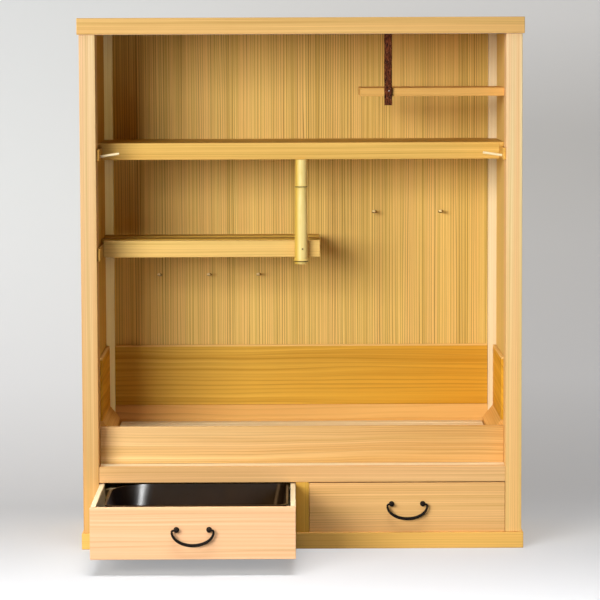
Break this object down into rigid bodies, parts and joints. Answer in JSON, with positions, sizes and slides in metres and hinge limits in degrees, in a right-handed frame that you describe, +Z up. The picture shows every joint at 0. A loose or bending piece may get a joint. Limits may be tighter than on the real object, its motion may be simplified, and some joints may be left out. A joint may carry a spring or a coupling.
{
  "type": "tea ceremony cabinet",
  "caption": "Open-fronted cedar tea-preparation cabinet with shelves on bamboo and bark hangers, pegs, a slatted sink behind a front board, and drawers with iron bail pulls, on a plinth.",
  "frame": {"origin": "middle of the base, on the floor, halfway between the case's front and back faces", "axes": "+X to the right of someone who faces the front, +Y towards the back, +Z up"},
  "size_m": [1.16, 0.8777, 1.39],
  "materials": {
    "cedar": "planed, unfinished",
    "panel_cedar": "sawn panel, unfinished",
    "bamboo": "natural skin",
    "bark": "bark-covered",
    "black_iron": "black, satin",
    "dark_plastic": "gloss"
  },
  "bodies": {
    "case": {"top_board": "cedar", "left_front_post": "cedar", "right_front_post": "cedar", "left_rear_post": "cedar", "right_rear_post": "cedar", "left_side_panel": "cedar", "right_side_panel": "cedar", "back_panel": "panel_cedar", "back_wainscot": "panel_cedar", "left_wainscot": "panel_cedar", "right_wainscot": "panel_cedar", "upper_shelf_board": "cedar", "upper_shelf_rail": "cedar", "upper_left_cleat": "cedar", "upper_right_cleat": "cedar", "lower_shelf_rail": "cedar", "lower_shelf_slats": "cedar", "lower_shelf_cleat": "cedar", "bamboo_hanger": "bamboo", "corner_shelf": "cedar", "bark_hanger": "bark", "low_back_peg_1": "bamboo", "low_back_peg_2": "bamboo", "low_back_peg_3": "bamboo", "high_back_peg_1": "bamboo", "high_back_peg_2": "bamboo", "left_side_peg": "bamboo", "right_side_peg": "bamboo", "sink_apron": "cedar", "left_sink_curb": "cedar", "right_sink_curb": "cedar", "back_sink_curb": "cedar", "sink_pan": "dark_plastic", "sink_floor": "cedar", "drawer_rail": "cedar", "drawer_divider": "cedar", "drawer_floor": "cedar", "plinth_front": "cedar", "plinth_back": "cedar", "plinth_left": "cedar", "plinth_right": "cedar", "plinth_bearer": "cedar"},
    "left_drawer": {"left_drawer_front": "cedar", "left_drawer_left_side": "cedar", "left_drawer_right_side": "cedar", "left_drawer_back": "cedar", "left_drawer_bottom": "cedar", "left_pull_left_post": "black_iron", "left_pull_right_post": "black_iron", "drawer_tub": "dark_plastic"},
    "left_bail": {"left_bail": "black_iron"},
    "right_drawer": {"right_drawer_front": "cedar", "right_drawer_left_side": "cedar", "right_drawer_right_side": "cedar", "right_drawer_back": "cedar", "right_drawer_bottom": "cedar", "right_pull_left_post": "black_iron", "right_pull_right_post": "black_iron"},
    "right_bail": {"right_bail": "black_iron"},
    "sink_deck": {"sink_deck": "cedar"}
  },
  "joints": [
    {"name": "left_drawer_slide", "type": "slide", "parent": "case", "child": "left_drawer", "axis": [0, -1, 0], "range_m": [-0.39, 0.01]},
    {"name": "left_bail_swing", "type": "hinge", "parent": "left_drawer", "child": "left_bail", "pos_m": [-0.275, -0.6355, 0.1175], "axis": [-1, 0, 0], "range_deg": [-8, 185]},
    {"name": "right_drawer_slide", "type": "slide", "parent": "case", "child": "right_drawer", "axis": [0, -1, 0], "range_m": [0, 0.4]},
    {"name": "right_bail_swing", "type": "hinge", "parent": "right_drawer", "child": "right_bail", "pos_m": [0.275, -0.2455, 0.1175], "axis": [-1, 0, 0], "range_deg": [-8, 185]},
    {"name": "deck_lift", "type": "slide", "parent": "case", "child": "sink_deck", "axis": [0, 0, 1], "range_m": [0, 0.15]}
  ]
}
